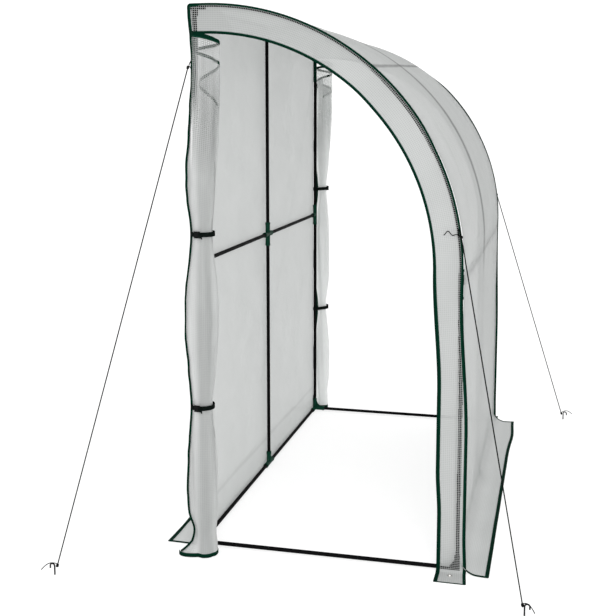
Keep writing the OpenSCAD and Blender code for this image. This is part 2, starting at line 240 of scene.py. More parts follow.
# Painted light on the near roll: a white painted highlight streak, a dark painted shade streak and
# a broad lighter band that paints light onto the roll's edge.
painted_roll_streaks = [((1.0, 0.0), 0.045, 0.006, 0.022, 0.18, WHOLE, "#FFFFFF"),
           ((1.0, 0.0), 0.082, 0.010, 0.036, 0.17, WHOLE, "#3A3C3B"),
           ((1.0, 0.0), 0.168, 0.018, 0.058, 0.90, WHOLE, "#D2D4D3")]
# The far door's copies are painted much lighter than the film, as painted light on the far roll;
# the near door keeps about the film's own tone.
door_finishes = {}
for end, squares, thread, through in (("near", "#A8AAA9", "#AEB0AF", 0.2),
                                      ("far", "#E6E8E7", "#ECEEED", 0.05)):
    label = "reinforced polyethylene film, " + end + " door"
    door_finishes[end] = [
        film_finish(label, 0.90, thread, squares, 0.94, through, head=(0.08, 0.52),
                    painted_lines=painted_roll_streaks if end == "near" else []),
        film_finish(label + " wound", 1.0, thread, squares, 1.0, 0.0)]
print("film finishes", film.name, "/", roof_finish.name, "/", rear_finish.name)

# %% [markdown]
# ### Binding tape, webbing and rope
# The edges are bound in dark green woven polyester tape with a row of stitches near its free
# edge. The tape's UV runs across it in U and along it in V, in metres, so the stitches can be
# drawn with a little arithmetic. The weave is drawn at 1.2 mm, coarser than real, to show.

# %% Tape, webbing and rope finishes
def woven_finish(name, colour, light, rib, stitch_at=None, stitch="#164A37", rough=0.75):
    mat, shader = new_finish(name)
    coords = add(mat, "ShaderNodeTexCoord")
    weave = add(mat, "ShaderNodeTexBrick", offset=0.5, squash=1.0,
                values={"Scale": 1 / rib, "Mortar Size": 0.10, "Mortar Smooth": 0.8,
                        "Brick Width": 1.0, "Row Height": 0.5},
                links={"Vector": coords.outputs["UV"]})
    wear = add(mat, "ShaderNodeTexNoise", values={"Scale": 1 / 0.03, "Detail": 4.0},
               links={"Vector": coords.outputs["Object"]})
    cloth = add(mat, "ShaderNodeMix", data_type="RGBA",
                values={6: from_hex(colour), 7: from_hex(light)}, links={0: wear.outputs["Fac"]})
    colour_out = cloth.outputs[2]
    if stitch_at:
        uv = add(mat, "ShaderNodeSeparateXYZ", links={"Vector": coords.outputs["UV"]})
        off = add(mat, "ShaderNodeMath", operation="SUBTRACT", values={1: stitch_at},
                  links={0: uv.outputs["X"]})
        near = add(mat, "ShaderNodeMath", operation="COMPARE", values={1: 0.0, 2: 0.0006},
                   links={0: off.outputs[0]})
        step = add(mat, "ShaderNodeMath", operation="MULTIPLY", values={1: 1 / 0.006},
                   links={0: uv.outputs["Y"]})
        part = add(mat, "ShaderNodeMath", operation="FRACT", links={0: step.outputs[0]})
        dash = add(mat, "ShaderNodeMath", operation="LESS_THAN", values={1: 0.62},
                   links={0: part.outputs[0]})
        seam = add(mat, "ShaderNodeMath", operation="MULTIPLY",
                   links={0: near.outputs[0], 1: dash.outputs[0]})
        sewn = add(mat, "ShaderNodeMix", data_type="RGBA", values={7: from_hex(stitch)},
                   links={0: seam.outputs[0], 6: colour_out})
        colour_out = sewn.outputs[2]
    bump = add(mat, "ShaderNodeBump", values={"Strength": 0.5, "Distance": 0.0004}, invert=True,
               links={"Height": weave.outputs["Fac"]})
    feed(mat, shader, Base_Color=colour_out, Normal=bump.outputs["Normal"])
    shader.inputs["Roughness"].default_value = rough
    shader.inputs["Specular IOR Level"].default_value = 0.02
    return mat


binding = woven_finish("woven polyester binding tape", "#001B11", "#012418", 0.0012,
                       stitch_at=0.0022)
webbing = woven_finish("polypropylene webbing", "#050807", "#0C1310", 0.0020)
rope_finish = woven_finish("braided polypropylene cord", "#0A0C0B", "#171A19", 0.0016)
print("woven finishes", binding.name, webbing.name, rope_finish.name)

# %% [markdown]
# ### Powder-coated steel, mouldings and plated brass
# The tubes are black powder-coated steel, which has a faint orange peel about a millimetre
# across. The corners are moulded in dark green polypropylene with a fine spark-eroded grain.
# The buckles are black acetal, the eyelets nickel-plated brass and the pegs painted wire.

# %% Hard finishes
def grained_finish(name, colour, light, grain, depth, rough, metallic=0.0, shine=0.06):
    mat, shader = new_finish(name)
    coords = add(mat, "ShaderNodeTexCoord")
    peel = add(mat, "ShaderNodeTexNoise", values={"Scale": 1 / grain, "Detail": 2.0},
               links={"Vector": coords.outputs["Object"]})
    patch = add(mat, "ShaderNodeTexNoise",
                values={"Scale": 1 / 0.06, "Detail": 4.0, "Roughness": 0.6},
                links={"Vector": coords.outputs["Object"]})
    tint = add(mat, "ShaderNodeMix", data_type="RGBA",
               values={6: from_hex(colour), 7: from_hex(light)}, links={0: patch.outputs["Fac"]})
    polish = add(mat, "ShaderNodeMapRange", values={"From Min": 0.3, "From Max": 0.7,
                                                    "To Min": rough - 0.06, "To Max": rough + 0.06},
                 links={"Value": patch.outputs["Fac"]})
    bump = add(mat, "ShaderNodeBump", values={"Strength": 0.3, "Distance": depth},
               links={"Height": peel.outputs["Fac"]})
    feed(mat, shader, Base_Color=tint.outputs[2], Roughness=polish.outputs["Result"],
         Normal=bump.outputs["Normal"])
    shader.inputs["Metallic"].default_value = metallic
    shader.inputs["Specular IOR Level"].default_value = 0.5 if metallic else shine
    return mat


tube_steel = grained_finish("black powder-coated steel", "#060606", "#0C0C0D", 0.0012, 0.0001, 0.55,
                            shine=0.02)
moulding = grained_finish("moulded green polypropylene", "#022A1D", "#06392A", 0.0009, 0.0001, 0.5)
acetal = grained_finish("moulded black acetal", "#070808", "#0E0F0F", 0.0009, 0.0001, 0.45)
peg_wire = grained_finish("painted steel wire", "#141515", "#232424", 0.001, 0.0001, 0.4)
plated = grained_finish("nickel-plated brass", "#B9B6AE", "#D4D2CC", 0.002, 0.00003, 0.25,
                        metallic=1.0)
print("hard finishes", tube_steel.name, moulding.name, peg_wire.name, plated.name)

# %% [markdown]
# ### The rigid parts
# The tubes, corners and pegs keep their CAD shapes. Only the material in each slot changes.

# %% Finishes on the CAD nodes that stay
for node_name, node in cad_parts.items():
    finish = None
    if node_name.endswith(("_post", "_hoop", "_rail")):
        finish = tube_steel
    elif node_name.endswith("_connectors"):
        finish = moulding
    elif node_name == "pegs":
        finish = peg_wire
    if finish:
        for material_slot in node.material_slots:
            material_slot.material = finish
print("CAD nodes dressed")

# %% [markdown]
# ## Making soft pieces
# A sheet starts as a flat grid whose UV map is set to its cut size in metres. Every point is
# then laid on the shape that the sheet takes. A tape or rope is a ring of points carried
# along a path. Both keep their place in the mesh, so the objects stay at the origin.

# %% Settling a piece and selecting its faces
def settle(piece, finishes, nodes):
    for finish in finishes:
        piece.data.materials.append(finish)
    bpy.ops.object.select_all(action="DESELECT")
    piece.select_set(True)
    bpy.context.view_layer.objects.active = piece
    bpy.ops.object.shade_smooth_by_angle(angle=math.radians(50))
    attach(piece, "root")
    if nodes:
        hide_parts(*nodes)
    print(piece.name, len(piece.data.vertices), "points")
    return piece


def pick_faces(piece, wanted):
    """Select the faces whose middle passes a test, and stay in edit mode."""
    bpy.ops.object.mode_set(mode="EDIT")
    bpy.ops.mesh.select_mode(type="FACE")
    bpy.ops.mesh.select_all(action="DESELECT")
    bpy.ops.object.mode_set(mode="OBJECT")
    for polygon in piece.data.polygons:
        polygon.select = wanted(polygon.center)
    bpy.ops.object.mode_set(mode="EDIT")

# %% Sheets and swept pieces
def lay_sheet(name, size, cells, point, finishes, nodes=()):
    bpy.ops.object.select_all(action="DESELECT")
    bpy.ops.mesh.primitive_grid_add(x_subdivisions=cells[0], y_subdivisions=cells[1], size=2,
                                    calc_uvs=True)
    piece = bpy.context.object
    piece.name = piece.data.name = name
    mesh = piece.data
    flat = [((v.co.x + 1) / 2 * size[0], (v.co.y + 1) / 2 * size[1]) for v in mesh.vertices]
    cut = mesh.uv_layers.active.data
    for loop in mesh.loops:
        cut[loop.index].uv = flat[loop.vertex_index]
    for vertex, place in zip(mesh.vertices, flat):
        vertex.co = point(*place)
    mesh.update()
    return settle(piece, finishes, nodes)


def sweep(name, rings, across, finishes, nodes=(), capped=True):
    count = len(rings[0])
    points = [p for ring in rings for p in ring]
    faces = [(i * count + j, i * count + (j + 1) % count,
              (i + 1) * count + (j + 1) % count, (i + 1) * count + j)
             for i in range(len(rings) - 1) for j in range(count)]
    if capped:
        faces += [tuple(range(count))[::-1],
                  tuple((len(rings) - 1) * count + j for j in range(count))]
    mesh = bpy.data.meshes.new(name)
    mesh.from_pydata([tuple(p) for p in points], [], faces)
    run = [0.0]
    for a, b in zip(rings, rings[1:]):
        run.append(run[-1] + (Vector(b[0]) - Vector(a[0])).length)
    uv = mesh.uv_layers.new(name="UVMap").data
    for polygon in mesh.polygons:
        for k, loop_index in enumerate(polygon.loop_indices):
            vertex = mesh.loops[loop_index].vertex_index
            j = vertex % count
            if len(polygon.vertices) == 4 and k in (1, 2) and j == 0:
                j = count
            uv[loop_index].uv = (across[j], run[vertex // count])
    piece = bpy.data.objects.new(name, mesh)
    bpy.context.scene.collection.objects.link(piece)
    bpy.ops.object.select_all(action="DESELECT")
    piece.select_set(True)
    bpy.context.view_layer.objects.active = piece
    bpy.ops.object.mode_set(mode="EDIT")
    bpy.ops.mesh.select_all(action="SELECT")
    bpy.ops.mesh.normals_make_consistent(inside=False)
    bpy.ops.object.mode_set(mode="OBJECT")
    return settle(piece, finishes, nodes)

# %% Rings of tapes and cords
def tape_rings(stations, width, thick):
    """Rings of a tape folded over an edge. A station is (edge point, way out, face)."""
    profile = [(0.0, 0.35), (0.12, 0.5), (0.5, 0.46), (0.86, 0.5), (1.0, 0.22),
               (1.0, -0.22), (0.86, -0.5), (0.5, -0.46), (0.12, -0.5), (0.0, -0.35)]
    widths = width if isinstance(width, list) else [width] * len(stations)
    rings = [[edge - out * wide * (1 - a) + face * thick * b for a, b in profile]
             for (edge, out, face), wide in zip(stations, widths)]
    across = [a * max(widths) for a, b in profile] + [0.0]
    return rings, across


def round_rings(path, radius, sides=10):
    """Rings of a round cord along a path, each turned with as little twist as possible."""
    rings, side = [], None
    for i, p in enumerate(path):
        ahead = (path[min(i + 1, len(path) - 1)] - path[max(i - 1, 0)]).normalized()
        if side is None:
            side = ahead.orthogonal().normalized()
        side = (side - ahead * side.dot(ahead)).normalized()
        up = ahead.cross(side)
        rings.append([p + (side * math.cos(a) + up * math.sin(a)) * radius
                      for a in (2 * math.pi * k / sides for k in range(sides))])
    across = [2 * math.pi * radius * k / sides for k in range(sides + 1)]
    return rings, across

# %% Unevenness, creases and smooth steps
def ripple(a, b, size, seed):
    """A soft, repeatable unevenness between about -1 and 1."""
    return noise.fractal(Vector((a / size, b / size, seed)), 0.9, 2.0, 3)


def fold(distance, width):
    """A crease: 1 on its line, falling off to both sides."""
    return math.exp(-abs(distance) / width)


def ease(t):
    t = min(max(t, 0.0), 1.0)
    return t * t * (3 - 2 * t)

# %% [markdown]
# ## Roof and front film
# One sheet runs from a lap seam behind the ridge, over the hoops, down the front and out
# along the ground as a skirt. It is stretched over three hoops, so it sags a little between
# them, and it keeps faint creases from having been folded in its box. Its finish adds painted
# shade along one crease and along the middle hoop.

# %% Roof and front film
SEAM = 0.045
roof_parts = [SEAM, MID * math.pi / 2, BEND_X - REAR, (BEND_R + MID) * math.pi / 2,
              BEND_Z - COVE_R - FILM_T, (COVE_R + FILM_T / 2) * math.pi / 2, FRONT_SKIRT - COVE_R]
ROOF_LONG, ROOF_WIDE = sum(roof_parts), 2 * COVER_END


def roof_line(s):
    """Point (x, z) of the roof's section at s along it, and its way out."""
    for part, long in enumerate(roof_parts):
        if s <= long or part == len(roof_parts) - 1:
            break
        s -= long
    if part == 0:
        return (REAR - MID, RIDGE - SEAM + s), (-1.0, 0.0)
    if part == 1:
        a = math.pi - s / MID
        return (REAR + MID * math.cos(a), RIDGE + MID * math.sin(a)), (math.cos(a), math.sin(a))
    if part == 2:
        return (REAR + s, RIDGE + MID), (0.0, 1.0)
    if part == 3:
        a = math.pi / 2 - s / (BEND_R + MID)
        return ((BEND_X + (BEND_R + MID) * math.cos(a), BEND_Z + (BEND_R + MID) * math.sin(a)),
                (math.cos(a), math.sin(a)))
    if part == 4:
        return (FRONT + MID, BEND_Z - s), (1.0, 0.0)
    centre = (FRONT + FILM_OUT + COVE_R, COVE_R + FILM_T)
    if part == 5:
        a = math.pi + s / (COVE_R + FILM_T / 2)
        r = COVE_R + FILM_T / 2
        return ((centre[0] + r * math.cos(a), centre[1] + r * math.sin(a)),
                (-math.cos(a), -math.sin(a)))
    return (centre[0] + s, FILM_T / 2), (0.0, 1.0)


def slack(y):
    """0 over a hoop and its connectors, 1 half way between two hoops."""
    bay = abs(abs(y) - END / 2) / (END / 2)
    return ease((1 - bay) * 1.6)


def splayed(y, ground):
    """The front skirt's near end is spread towards the doorway."""
    return y - 0.026 * ground * ease((-y - 0.80) / 0.19)


def bulge(y):
    """How far the front skirt's edge bows out near its far end."""
    return 0.010 * math.exp(-((y - 0.74) / 0.16) ** 2)


def roof_point(y, s):
    y -= COVER_END
    (x, z), (nx, nz) = roof_line(s)
    free = slack(y)
    lift = -0.0030 * free * (0.6 + 0.4 * math.sin(2.3 * s)) + 0.0009 * ripple(y, s, 0.16, 1.3)
    lift += 0.0022 * free * fold(s - 0.741 + 0.071 * y, 0.012)
    lift -= 0.0016 * free * fold(s - 1.62, 0.010)
    lift += 0.0020 * free * fold(abs(y) - 0.52 - 0.03 * s, 0.010)
    ground = ease((s - (ROOF_LONG - 0.16)) / 0.16)
    lift = lift * (1 - ground) + ground * 0.003 * (1 + ripple(y, 0.0, 0.22, 5.1))
    return (x + nx * lift + ground ** 3 * bulge(y), splayed(y, ground), z + nz * lift)


roof_film = lay_sheet("roof_and_front_film", (ROOF_WIDE, ROOF_LONG), (110, 240), roof_point,
                      [roof_finish], ["roof_cover", "front_skirt"])

# %% [markdown]
# ## Rear film
# The rear wall is a plain rectangle, hung from the lap seam at the ridge and turned out along
# the ground behind the wall. It hangs between the posts with soft upright waves.

# %% Rear film
rear_parts = [RIDGE - 0.012 - REAR_COVE - FILM_T, (REAR_COVE + FILM_T / 2) * math.pi / 2,
              REAR_SKIRT - REAR_COVE]
REAR_LONG = sum(rear_parts)


def rear_line(s):
    if s <= rear_parts[0]:
        return (REAR - MID + 0.0008, RIDGE - 0.012 - s), (-1.0, 0.0)
    s -= rear_parts[0]
    centre = (REAR - FILM_OUT - REAR_COVE, REAR_COVE + FILM_T)
    if s <= rear_parts[1]:
        r = REAR_COVE + FILM_T / 2
        a = -s / r
        return ((centre[0] + r * math.cos(a), centre[1] + r * math.sin(a)),
                (-math.cos(a), -math.sin(a)))
    return (centre[0] - (s - rear_parts[1]), FILM_T / 2), (0.0, 1.0)


def rear_point(y, s):
    y -= COVER_END
    (x, z), (nx, nz) = rear_line(s)
    free = slack(y) * ease(s / 0.3)
    lift = 0.0025 * free * math.sin(9 * y + 0.8 * math.sin(2 * s)) + 0.0008 * ripple(y, s, 0.2, 7.7)
    ground = ease((s - (REAR_LONG - 0.2)) / 0.2)
    lift = lift * (1 - ground) + ground * 0.003 * (1 + ripple(y, 0.0, 0.24, 9.4)) * nz
    post = min(abs(y), END - abs(y) if abs(y) < END else 0.0)
    hug = 0.0032 * ease((0.12 - z) / 0.10) * ease((post - 0.07) / 0.06)
    return (x + nx * lift + hug, y, max(z + nz * lift, 0.0006))


rear_film = lay_sheet("rear_film", (2 * COVER_END, REAR_LONG), (100, 150), rear_point,
                      [rear_finish], ["rear_cover", "rear_skirt"])

# %% [markdown]
# ## End strips
# Each end has a strip of film that frames the doorway: over the top, round the bend and down
# the front. At its foot it turns out along the ground as a flap with an eyelet.

# %% End strips
strip_parts = [BEND_X - REAR + FILM_IN, BEND_R * math.pi / 2, BEND_Z - FLAP_COVE - FILM_T,
               (FLAP_COVE + FILM_T / 2) * math.pi / 2, FLAP_REACH - FLAP_COVE]
STRIP_LONG = sum(strip_parts)


def pull(z, reach):
    """How far the strip's inner edge (reach 0) or outer edge (1) is pulled out at a height."""
    inner = (0.023 * ease((1.15 - z) / 0.45) + 0.008 * ease((0.40 - z) / 0.18) - 0.007
             - 0.003 * ease((1.9 - z) / 0.1))
    outer = (0.027 * ease((1.08 - z) / 0.55) + 0.005 * ease((0.15 - z) / 0.15)
             - 0.004 * ease((1.72 - z) / 0.15))
    return inner + (outer - inner) * reach


def strip_line(side, s, off):
    """Point of an end strip, its way out in the strip's plane, and its outer face."""
    for part, long in enumerate(strip_parts):
        if s <= long or part == len(strip_parts) - 1:
            break
        s -= long
    face = Vector((0.0, side, 0.0))
    reach = (off - STRIP_IN) / (FILM_OUT - STRIP_IN)
    height = {0: RIDGE, 1: BEND_Z + BEND_R * math.cos(s / BEND_R), 2: BEND_Z - s}.get(part, 0.0)
    off += pull(height, reach) * (1.0 if side < 0 else 0.4)
    off += 0.008 * reach * s / long if part == 4 else 0.0
    if part == 0:
        back = (0.003 + 0.008 * reach) * (1 - s / long)
        corner = Vector((REAR - FILM_IN + s - back, side * STRIP_Y, RIDGE + off))
        return corner, Vector((0.0, 0.0, 1.0)), face
    if part == 1:
        a = math.pi / 2 - s / BEND_R
        out = Vector((math.cos(a), 0.0, math.sin(a)))
        return Vector((BEND_X, side * STRIP_Y, BEND_Z)) + out * (BEND_R + off), out, face
    out = Vector((1.0, 0.0, 0.0))
    if part == 2:
        return Vector((FRONT + off, side * STRIP_Y, BEND_Z - s)), out, face
    r = FLAP_COVE + FILM_T / 2
    centre_y, centre_z = COVER_END + FLAP_COVE, FLAP_COVE + FILM_T
    if part == 3:
        a = s / r
        face = Vector((0.0, side * math.cos(a), math.sin(a)))
        y, z = centre_y - r * math.cos(a), centre_z - r * math.sin(a)
        return Vector((FRONT + off, side * y, z)), out, face
    return Vector((FRONT + off, side * (centre_y + s), FILM_T / 2)), out, Vector((0.0, 0.0, 1.0))


def gets_tube_shade(p):
    """True where a strip gets painted tube shade: over the post, the hoop or the foot connector
    behind it.

    Low on the near post the painted shade stands up to 8.5 mm further out than the tube.
    """
    aside = p.x - FRONT - (0.0085 * ease((1.10 - p.z) / 0.45) if p.y < 0 else 0.0)
    if p.z < 0.068:
        web = -0.0105 - 0.7 * max(0.050 - p.z, 0.0)
        return 0.009 < p.z and (-0.100 if p.z < 0.0225 else web) < aside < 0.0100
    if p.z < BEND_Z:
        return -0.0066 < aside < 0.0083
    if p.x > BEND_X:
        inner = -0.0062 + 0.0060 * ease((p.z - 1.80) / 0.16)
        return inner < math.hypot(p.x - BEND_X, p.z - BEND_Z) - BEND_R < 0.0083
    return abs(p.z - RIDGE) < 0.009 or abs(p.x - REAR - 0.004) < 0.010


def eyelet_place(side):
    pulled = pull(0.0, 0.5) * (1.0 if side < 0 else 0.4)
    return FRONT + (STRIP_IN + FILM_IN) / 2 + pulled, side * (COVER_END + EYELET_OUT)


def end_strip(name, side, nodes, seed):
    wide = FILM_IN - STRIP_IN

    def point(off, s):
        p, out, face = strip_line(side, s, STRIP_IN + off)
        middle = math.sin(math.pi * off / wide)
        lift = 0.0012 * middle * ripple(off, s, 0.12, seed)
        lift += 0.0020 * middle * fold(s - 0.10 - 0.9 * (wide - off), 0.012)
        lift += 0.0015 * middle * fold(s - 0.62 + 0.6 * off, 0.015)
        return p + face * lift

    piece = lay_sheet(name, (wide, STRIP_LONG), (56, 520), point, [film, tube_shade_film],
                      nodes)
    # Faces over a tube take the copy with painted tube shade.
    for polygon in piece.data.polygons:
        polygon.material_index = 1 if gets_tube_shade(polygon.center) else 0
    hole = eyelet_place(side)
    pick_faces(piece, lambda c: c.z < 0.01 and math.dist(c.xy, hole) < 0.0056)
    bpy.ops.mesh.delete(type="FACE")
    bpy.ops.object.mode_set(mode="OBJECT")
    return piece


near_strip = end_strip("near_strip_film", -1, ["near_end_strip", "near_flap"], 2.2)
far_strip = end_strip("far_strip_film", 1, ["far_end_strip", "far_flap"], 6.6)

# %% [markdown]
# ## Bindings
# Every cut edge is folded into tape and sewn. A tape is a flat ring of points, carried along
# the edge and turned with the film, so it follows the bend, the foot and the corners.

# %% Doorway and edge bindings
def arch_stations(side, off, out_sign, step=0.02):
    count = int(STRIP_LONG / step)
    stations = []
    for i in range(count + 1):
        p, out, face = strip_line(side, STRIP_LONG * i / count, off)
        stations.append((p, out * out_sign, face))
    return stations


def doorway_binding(name, side, node):
    stations = [(p + face * 0.0008, out, face)
                for p, out, face in arch_stations(side, STRIP_IN - 0.001, -1)]
    widths = [0.0105 + 0.0045 * ease((1.35 - p.z) / 0.4) for p, out, face in stations]
    rings, across = tape_rings(stations, widths, 0.0028)
    return sweep(name, rings, across, [binding], [node])


def edge_binding(name, side, node):
    face = Vector((0.0, side, 0.0))
    y = side * (COVER_END + 0.0004)
    corner = 0.014
    stations = []
    for i in range(60):
        z = 0.075 + (RIDGE + FILM_OUT - corner - 0.075) * i / 59
        pulled = -0.011 + 0.020 * ease((RIDGE - z) / 0.24)
        stations.append((Vector((REAR - FILM_OUT - 0.001 + pulled, y, z)),
                         Vector((-1.0, 0.0, 0.0)), face))
    for i in range(1, 9):
        a = math.pi - math.pi / 2 * i / 9
        out = Vector((math.cos(a), 0.0, math.sin(a)))
        centre = Vector((REAR - FILM_OUT - 0.012 + corner, y, RIDGE + FILM_OUT + 0.001 - corner))
        stations.append((centre + out * corner, out, face))
    for p, out, turned in arch_stations(side, FILM_OUT + 0.001, 1)[1:]:
        proud = 0.0 if side < 0 else 0.007 * ease((1.97 - p.z) / 0.12) - 0.003
        stations.append((p + turned * 0.0014 + out * proud, out, turned))
    widths = [0.0125 - 0.0045 * ease((p.x - REAR) / 0.03) * ease((p.z - 0.95) / 0.3)
              for p, out, turned in stations]
    rings, across = tape_rings(stations, widths, 0.0030)
    return sweep(name, rings, across, [binding], [node])


for side, end in ENDS:
    doorway_binding(end + "_doorway_tape", side, end + "_doorway_binding")
for side, end in ENDS:
    edge_binding(end + "_edge_tape", side, end + "_edge_binding")

# %% Flap and skirt bindings
for side, end in ENDS:
    stations = []
    for i in range(13):
        p, out, face = strip_line(side, STRIP_LONG, STRIP_IN + (FILM_IN - STRIP_IN) * i / 12)
        stations.append((p + Vector((0.0, side * 0.001, 0.0003)), Vector((0.0, side, 0.0)), face))
    rings, across = tape_rings(stations, 0.005, 0.0026)
    sweep(end + "_flap_tape", rings, across, [binding])


def skirt_edge(name, line, long, reach_way, nodes):
    """The bound outer edge of a skirt, on the ground."""
    (x, z), _ = line(long)
    count = 100
    stations = []
    for i in range(count + 1):
        y = -COVER_END + 2 * COVER_END * i / count
        wave = 0.0014 + 0.003 * (1 + ripple(y, 0.0, 0.22, 5.1 if reach_way > 0 else 9.4))
        bow, y = (bulge(y), splayed(y, 1.0)) if reach_way > 0 else (0.0, y)
        stations.append((Vector((x + 0.001 * reach_way + bow, y, z + wave)),
                         Vector((reach_way, 0.0, 0.0)), Vector((0.0, 0.0, 1.0))))
    rings, across = tape_rings(stations, 0.015, 0.0046)
    return sweep(name, rings, across, [binding], nodes)


def skirt_end(name, line, long, start, side):
    """The narrow binding up one end of a skirt."""
    stations = []
    for i in range(41):
        s = start + (long - 0.002 - start) * i / 40
        (x, z), (nx, nz) = line(s)
        reach = 0.16 if line is roof_line else 0.2
        ground = ease((s - (long - reach)) / reach)
        lift = 0.003 * ground + 0.0012
        y = side * (COVER_END + 0.0005)
        if line is roof_line:
            x, y = x + ground ** 3 * bulge(y), splayed(y, ground)
        stations.append((Vector((x + nx * lift, y, max(z + nz * lift, 0.0028))),
                         Vector((0.0, side, 0.0)), Vector((nx, 0.0, nz))))
    rings, across = tape_rings(stations, 0.007, 0.0048)
    return sweep(name, rings, across, [binding])


skirt_edge("front_skirt_tape", roof_line, ROOF_LONG, 1, ["skirt_bindings"])
skirt_edge("rear_skirt_tape", rear_line, REAR_LONG, -1, [])
for side, end in ENDS:
    skirt_end("front_skirt_" + end + "_tape", roof_line, ROOF_LONG,
              ROOF_LONG - (0.090 if side < 0 else 0.125), side)
    skirt_end("rear_skirt_" + end + "_tape", rear_line, REAR_LONG, REAR_LONG - 0.21, side)

# %% [markdown]
# ## Rolled doors
# A door is an arched sheet as wide as the doorway, hinged along the wall post and rolled up
# from its free edge. So the roll is a spiral: its outer turn is the hinge side and full
# height, and the inner turns are lower, because the arch falls towards the front. The bound
# arch edge winds down inside the roll, and the ties draw the film in. The far door is rolled
# up tighter, in more turns. A sleeve of tape holds each door's top to its post.

# %% Measures of the rolls
LOW_TIE, HIGH_TIE = 0.605, {-1: 1.280, 1: 1.302}
ROLLS = {"near": (-1, 0.059, 0.038), "far": (1, 0.047, 0.024)}  # side, radius, out from the post
TIE_DRAW = 0.014
DOOR_TOP, DOOR_R = RIDGE + STRIP_IN - 0.001, BEND_R + STRIP_IN
print("door", round(DOOR_TOP, 3), "m high")


def bell(d):
    return math.exp(-(d / 0.12) ** 2)


def drawn_in(side, z):
    """How much the ties draw a roll in at a height, from 0 to 1."""
    return bell(z - LOW_TIE) + bell(z - HIGH_TIE[side])


def roll_radius(side, r, z):
    return r - TIE_DRAW * drawn_in(side, z)


def roll_middle(side, r, x, z):
    """Middle of a roll at a height. The near roll leans a little to the front."""
    lean = 0.009 * ease((z - 0.7) / 0.5) if side < 0 else 0.0
    return Vector((REAR + x + lean, side * (END + FILM_IN + 0.0003 + r + 0.007), z))

# %% Rolling up a door
def rolled_door(end, side, r, x, start, head, lean, nodes, seed):
    """Roll a door up: its end, side, radius and place, then where it starts and how it hangs."""
    outer, inner, bend = r - 0.006, 0.40 * r, 0.8
    mean = outer - (outer - inner) / (1 + bend)
    turns = DOOR_WIDE / (2 * math.pi * mean)
    steps = [turns * i / 400 for i in range(401)]

    def coil(turn):
        return outer - (outer - inner) * (turn / turns) ** bend

    run = [0.0]
    for a, b in zip(steps, steps[1:]):
        run.append(run[-1] + 2 * math.pi * (b - a) * coil((a + b) / 2))
    wide = run[-1]

    def arch_top(d):
        fall = math.sqrt(max(DOOR_R ** 2 - max(d - 0.045, 0.0) ** 2, 0.04))
        return BEND_Z + fall - 0.004 - 0.030 * ease(d / 0.16)

    def place(d, z):
        """A door point d from its hinge edge, rolled up, and the way that it faces."""
        k = min(bisect.bisect_right(run, d), 400)
        turn = steps[k - 1] + (steps[k] - steps[k - 1]) * (d - run[k - 1]) / (run[k] - run[k - 1])
        t = turn / turns
        angle = start - side * turn * 2 * math.pi
        tied = drawn_in(side, z)
        rad = coil(turn) - TIE_DRAW * tied * (1 - 0.6 * t)
        loose = (1 - t) * (1 - 0.8 * tied)
        rad += (0.0032 * math.sin(5 * angle + 6 * z + seed) * loose
                * (0.4 + math.sin(math.pi * z / 0.7) ** 2))
        rad += 0.0050 * ripple(angle * 0.10, z, 0.16, seed) * loose
        rad += 0.0022 * ripple(angle * 0.05, z * 0.12, 0.022, seed + 3) * loose
        gather = ease((z - 1.45) / 0.48)
        rad += head * gather * (1 - 0.4 * t)
        rad += 0.004 * (math.sin(math.pi * z / 0.62) ** 2 if z < LOW_TIE
                        else 2 * bell(0.7 * (z - 0.94)) + bell(0.7 * (z - 1.60))) * (1 - t)
        waist = math.exp(-((z - 0.10) / 0.05) ** 2)
        rad -= (0.007 + 0.014 * (1 - ease(turn / 0.3))) * waist * (1 - t)
        splay = max(1 - z / 0.055, 0.0) ** 1.5
        rad += splay * 0.056 * (1 - ease(turn / 0.17))
        middle = roll_middle(side, r, x, z)
        middle.x += lean * gather + 0.7 * (outer - coil(turn))
        return middle + Vector((rad * math.cos(angle), rad * math.sin(angle), 0.0)), angle

    def point(d, v):
        foot = 0.0025
        z = foot + (arch_top(d) - foot) * v / DOOR_TOP
        return place(d, z)[0]

    piece = lay_sheet(end + "_door_film", (wide, DOOR_TOP), (150, 120), point,
                      door_finishes[end], nodes)
    for polygon in piece.data.polygons:
        u = sum(piece.data.uv_layers.active.data[k].uv.x for k in polygon.loop_indices) / 4
        polygon.material_index = 1 if u > 8.2 * r else 0

    def along(path, width, label, taper=0.0):
        stations = []
        for d, z, out in path:
            p, angle = place(d, z)
            face = Vector((math.cos(angle), math.sin(angle), 0.0))
            way = Vector((0.0, 0.0, 1.0 if out == "top" else -1.0))
            if out == "hinge":
                ahead = place(d, z + 0.004)[0] - place(d, z - 0.004)[0]
                radial, face = face, Vector((-face.y, face.x, 0.0))
                way = face.cross(ahead).normalized()
                way = way if way.dot(radial) > 0 else -way
                p = p + way * 0.007
            stations.append((p + way * 0.001, way, face))
        rings, across = tape_rings(stations, width, 0.0026)
        for (d, z, out), ring, (edge, way, face) in zip(path, rings, stations):
            for i, p in enumerate(ring):
                ring[i] = p - way * (edge - p).dot(way) * taper * (1 - ease(d / 0.2))
        return sweep(end + label, rings, across, [binding])

    along([(wide * i / 240, arch_top(wide * i / 240), "top") for i in range(241)],
          0.012, "_door_arch_tape", 0.8)
    along([(0.0, 0.010 + (arch_top(0) - 0.024) * i / 140, "hinge") for i in range(141)],
          0.012, "_door_hinge_tape")
    along([(4.4 * r * i / 60, 0.004, "foot") for i in range(61)], 0.016, "_door_hem_tape")
    post = [Vector((REAR, side * END, 1.908 + 0.122 * i / 12)) for i in range(13)]
    rings, across = round_rings(post, 0.0094, 20)
    sweep(end + "_post_sleeve", rings, across, [binding])


rolled_door("near", *ROLLS["near"], math.radians(200), 0.0, 0.022,
            ["near_rolled_door"], 1.7)
rolled_door("far", *ROLLS["far"], math.radians(164), 0.012, 0.010,
            ["far_rolled_door"], 4.1)

